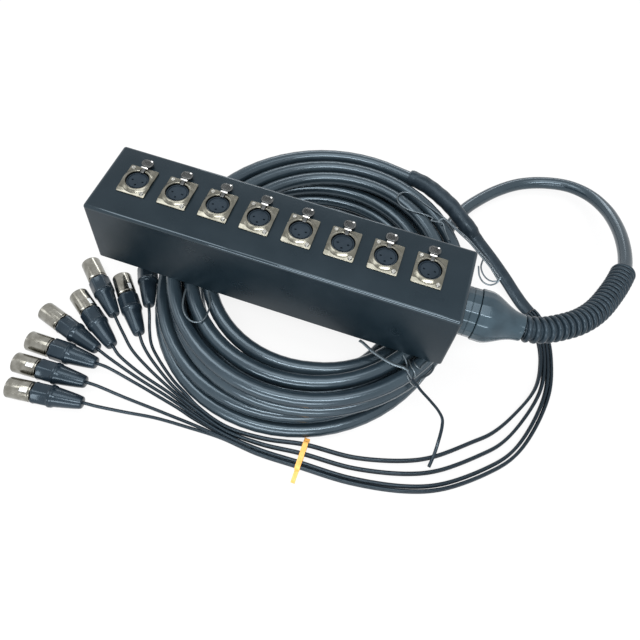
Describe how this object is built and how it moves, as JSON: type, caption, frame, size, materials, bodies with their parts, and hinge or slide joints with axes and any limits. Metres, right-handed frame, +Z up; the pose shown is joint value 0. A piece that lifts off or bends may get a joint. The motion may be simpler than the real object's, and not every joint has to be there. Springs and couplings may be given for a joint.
{
  "type": "stage box snake",
  "caption": "Folded steel stage box with panel sockets on its top, lying on its own coil of multicore cable that ends in a fan of cable plugs",
  "frame": {"origin": "middle of the bounding box of the box with its sockets, latches and gland, without the cables and what is on them", "axes": "+X along the box towards the cable gland, +Y from the long front face to the back, +Z up out of the socket panel"},
  "size_m": [0.5291, 0.4417, 0.1316],
  "materials": {
    "box_paint": "satin powder coat, blue black",
    "socket_nickel": "satin nickel plate",
    "insert_plastic": "moulded contact insert",
    "latch_nickel": "bright nickel plate",
    "gland_plastic": "moulded nylon, slight sheen",
    "nut_brass": "nickel plated brass",
    "relief_rubber": "ribbed soft rubber",
    "sleeve_rubber": "shrunk tubing",
    "cable_jacket": "smooth cable jacket, slight sheen",
    "tie_plastic": "moulded strap, orange",
    "plug_nickel": "bright nickel plate",
    "plug_plastic": "moulded grip and boot"
  },
  "bodies": {
    "root": {"top_shell": "box_paint", "base_tray": "box_paint", "connector_housing_1": "socket_nickel", "connector_insert_1": "insert_plastic", "connector_housing_2": "socket_nickel", "connector_insert_2": "insert_plastic", "connector_housing_3": "socket_nickel", "connector_insert_3": "insert_plastic", "connector_housing_4": "socket_nickel", "connector_insert_4": "insert_plastic", "connector_housing_5": "socket_nickel", "connector_insert_5": "insert_plastic", "connector_housing_6": "socket_nickel", "connector_insert_6": "insert_plastic", "connector_housing_7": "socket_nickel", "connector_insert_7": "insert_plastic", "connector_housing_8": "socket_nickel", "connector_insert_8": "insert_plastic", "gland_body": "gland_plastic", "gland_lock_nut": "nut_brass", "gland_cap": "gland_plastic", "multicore_coil": "cable_jacket", "multicore_lead": "cable_jacket", "strain_relief": "relief_rubber", "breakout_sleeve_large": "sleeve_rubber", "breakout_sleeve_small": "sleeve_rubber", "tail_1": "cable_jacket", "plug_boot_1": "plug_plastic", "plug_shell_1": "plug_nickel", "tail_2": "cable_jacket", "plug_boot_2": "plug_plastic", "plug_shell_2": "plug_nickel", "tail_3": "cable_jacket", "plug_boot_3": "plug_plastic", "plug_shell_3": "plug_nickel", "tail_4": "cable_jacket", "plug_boot_4": "plug_plastic", "plug_shell_4": "plug_nickel", "tail_5": "cable_jacket", "plug_boot_5": "plug_plastic", "plug_shell_5": "plug_nickel", "tail_6": "cable_jacket", "plug_boot_6": "plug_plastic", "plug_shell_6": "plug_nickel", "tail_7": "cable_jacket", "plug_boot_7": "plug_plastic", "plug_shell_7": "plug_nickel", "tail_8": "cable_jacket", "plug_boot_8": "plug_plastic", "plug_shell_8": "plug_nickel", "tail_tie": "tie_plastic", "inner_loom": "cable_jacket"},
    "latch_1": {"push_latch_1": "latch_nickel"},
    "latch_2": {"push_latch_2": "latch_nickel"},
    "latch_3": {"push_latch_3": "latch_nickel"},
    "latch_4": {"push_latch_4": "latch_nickel"},
    "latch_5": {"push_latch_5": "latch_nickel"},
    "latch_6": {"push_latch_6": "latch_nickel"},
    "latch_7": {"push_latch_7": "latch_nickel"},
    "latch_8": {"push_latch_8": "latch_nickel"}
  },
  "joints": [
    {"name": "latch_press_1", "type": "hinge", "parent": "root", "child": "latch_1", "pos_m": [-0.16085, 0.0166, 0.03735], "axis": [-1, 0, 0], "range_deg": [0, 8], "stiffness_Nm_per_rad": 0.05},
    {"name": "latch_press_2", "type": "hinge", "parent": "root", "child": "latch_2", "pos_m": [-0.12345, 0.0166, 0.03735], "axis": [-1, 0, 0], "range_deg": [0, 8], "stiffness_Nm_per_rad": 0.05},
    {"name": "latch_press_3", "type": "hinge", "parent": "root", "child": "latch_3", "pos_m": [-0.08605, 0.0166, 0.03735], "axis": [-1, 0, 0], "range_deg": [0, 8], "stiffness_Nm_per_rad": 0.05},
    {"name": "latch_press_4", "type": "hinge", "parent": "root", "child": "latch_4", "pos_m": [-0.04865, 0.0166, 0.03735], "axis": [-1, 0, 0], "range_deg": [0, 8], "stiffness_Nm_per_rad": 0.05},
    {"name": "latch_press_5", "type": "hinge", "parent": "root", "child": "latch_5", "pos_m": [-0.01125, 0.0166, 0.03735], "axis": [-1, 0, 0], "range_deg": [0, 8], "stiffness_Nm_per_rad": 0.05},
    {"name": "latch_press_6", "type": "hinge", "parent": "root", "child": "latch_6", "pos_m": [0.02615, 0.0166, 0.03735], "axis": [-1, 0, 0], "range_deg": [0, 8], "stiffness_Nm_per_rad": 0.05},
    {"name": "latch_press_7", "type": "hinge", "parent": "root", "child": "latch_7", "pos_m": [0.06355, 0.0166, 0.03735], "axis": [-1, 0, 0], "range_deg": [0, 8], "stiffness_Nm_per_rad": 0.05},
    {"name": "latch_press_8", "type": "hinge", "parent": "root", "child": "latch_8", "pos_m": [0.10095, 0.0166, 0.03735], "axis": [-1, 0, 0], "range_deg": [0, 8], "stiffness_Nm_per_rad": 0.05}
  ]
}
